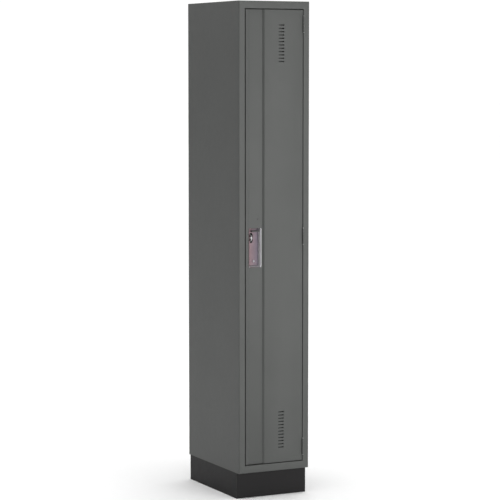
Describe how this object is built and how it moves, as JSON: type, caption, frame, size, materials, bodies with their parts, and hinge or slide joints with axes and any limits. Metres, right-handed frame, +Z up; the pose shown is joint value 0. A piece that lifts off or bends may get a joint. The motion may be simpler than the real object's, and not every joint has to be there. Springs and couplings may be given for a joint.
{
  "type": "storage locker",
  "caption": "Tall single-door steel locker on a closed base, with vented double-skin door, recessed lift latch, hat shelf and hooks.",
  "frame": {"origin": "centre of the footprint of the body, on the floor", "axes": "+Z up; the door faces -Y and its hinges are on the +X side; +X is to the right when facing the door"},
  "size_m": [0.3048, 0.4631, 1.9304],
  "materials": {
    "body_paint": "warm grey powder coat, fine texture, low sheen",
    "base_paint": "black powder coat, fine texture, low sheen",
    "pocket_stainless": "drawn stainless steel, satin",
    "zinc_steel": "bright zinc plate",
    "black_plastic": "black moulded ABS, fine texture",
    "guide_nylon": "natural nylon",
    "bumper_rubber": "black rubber"
  },
  "bodies": {
    "cabinet": {"left_side_panel": "body_paint", "right_side_panel": "body_paint", "back_panel": "body_paint", "top_panel": "body_paint", "bottom_panel": "body_paint", "latch_stile": "body_paint", "hinge_stile": "body_paint", "top_rail": "body_paint", "bottom_rail": "body_paint", "hat_shelf": "body_paint", "coat_hook_left": "zinc_steel", "coat_hook_right": "zinc_steel", "coat_hook_back": "zinc_steel", "ceiling_hook": "zinc_steel", "ceiling_hook_rivets": "zinc_steel", "base_front": "base_paint", "base_back": "base_paint", "base_left": "base_paint", "base_right": "base_paint", "base_corner_angles": "base_paint", "base_bolts": "zinc_steel", "base_nuts": "zinc_steel", "hinge_top_frame_leaf": "body_paint", "hinge_top_pin": "zinc_steel", "hinge_middle_frame_leaf": "body_paint", "hinge_middle_pin": "zinc_steel", "hinge_bottom_frame_leaf": "body_paint", "hinge_bottom_pin": "zinc_steel", "frame_hook_top": "zinc_steel", "frame_hook_middle": "zinc_steel", "frame_hook_bottom": "zinc_steel", "frame_hook_rivets": "zinc_steel", "silencer_top": "bumper_rubber", "silencer_middle": "bumper_rubber", "silencer_bottom": "bumper_rubber"},
    "door": {"hinge_top_door_leaf": "body_paint", "hinge_middle_door_leaf": "body_paint", "hinge_bottom_door_leaf": "body_paint", "hinge_rivets": "body_paint", "door_outer_pan": "body_paint", "door_inner_pan": "body_paint", "door_stiffener": "body_paint", "handle_pocket": "pocket_stainless", "pocket_screw": "zinc_steel", "pocket_nut": "zinc_steel", "padlock_hasp": "pocket_stainless", "trigger_guide": "zinc_steel", "lock_bar_guide_1": "guide_nylon", "lock_bar_guide_2": "guide_nylon", "lock_bar_guide_3": "guide_nylon", "lock_bar_guide_4": "guide_nylon", "channel_plug": "black_plastic"},
    "trigger": {"lift_trigger": "zinc_steel", "trigger_cover": "black_plastic"},
    "lock_bar": {"lock_bar": "zinc_steel"}
  },
  "joints": [
    {"name": "door_hinge", "type": "hinge", "parent": "cabinet", "child": "door", "pos_m": [0.1258, -0.2317, 1.016], "axis": [0, 0, 1], "range_deg": [0, 170]},
    {"name": "lock_bar_lift", "type": "slide", "parent": "door", "child": "lock_bar", "axis": [0, 0, 1], "range_m": [0, 0.006]},
    {"name": "trigger_lift", "type": "slide", "parent": "door", "child": "trigger", "axis": [0, 0, 1], "range_m": [0, 0.006]}
  ],
  "couplings": [
    {"joint": "trigger_lift", "follows": "lock_bar_lift", "ratio": 1}
  ]
}
